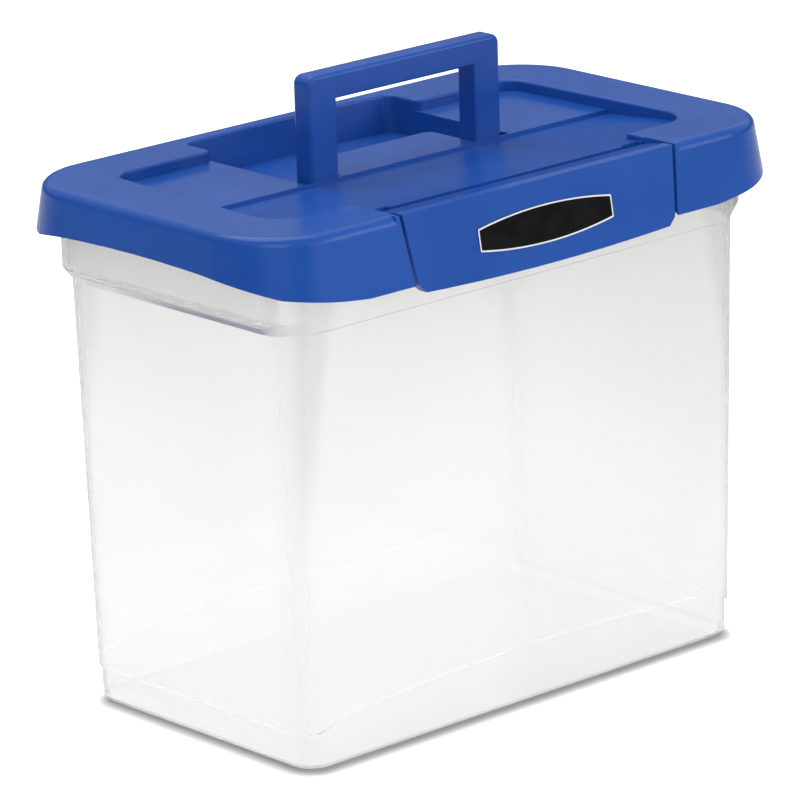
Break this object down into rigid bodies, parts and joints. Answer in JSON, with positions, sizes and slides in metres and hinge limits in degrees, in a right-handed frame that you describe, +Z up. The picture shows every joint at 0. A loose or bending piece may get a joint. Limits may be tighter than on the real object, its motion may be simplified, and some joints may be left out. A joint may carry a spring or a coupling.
{
  "type": "portable file box",
  "caption": "Portable file box: clear tub with folder rails, hinged blue lid with a sunk top, folding carry handle and flap latch with a bare name plate.",
  "frame": {"origin": "centre of the base's underside, on the surface that the box stands on", "axes": "+X along the box to the right, +Y from the latch towards the lid hinge, +Z up"},
  "size_m": [0.3628, 0.2184, 0.3294],
  "materials": {
    "clear_plastic": "polished, nearly clear polypropylene",
    "blue_plastic": "satin moulded polypropylene",
    "black_plate": "gloss plate with a bright rim"
  },
  "bodies": {
    "tub": {"tub": "clear_plastic"},
    "lid": {"lid": "blue_plastic"},
    "handle": {"handle": "blue_plastic"},
    "latch": {"latch": "blue_plastic", "badge": "black_plate"}
  },
  "joints": [
    {"name": "lid_hinge", "type": "hinge", "parent": "tub", "child": "lid", "pos_m": [0, 0.10456, 0.264], "axis": [-1, 0, 0], "range_deg": [0, 105]},
    {"name": "handle_fold", "type": "hinge", "parent": "lid", "child": "handle", "pos_m": [0, 0.0036, 0.2715], "axis": [-1, 0, 0], "range_deg": [0, 90]},
    {"name": "latch_hinge", "type": "hinge", "parent": "lid", "child": "latch", "pos_m": [0, -0.0845, 0.2748], "axis": [-1, 0, 0], "range_deg": [0, 90]}
  ]
}
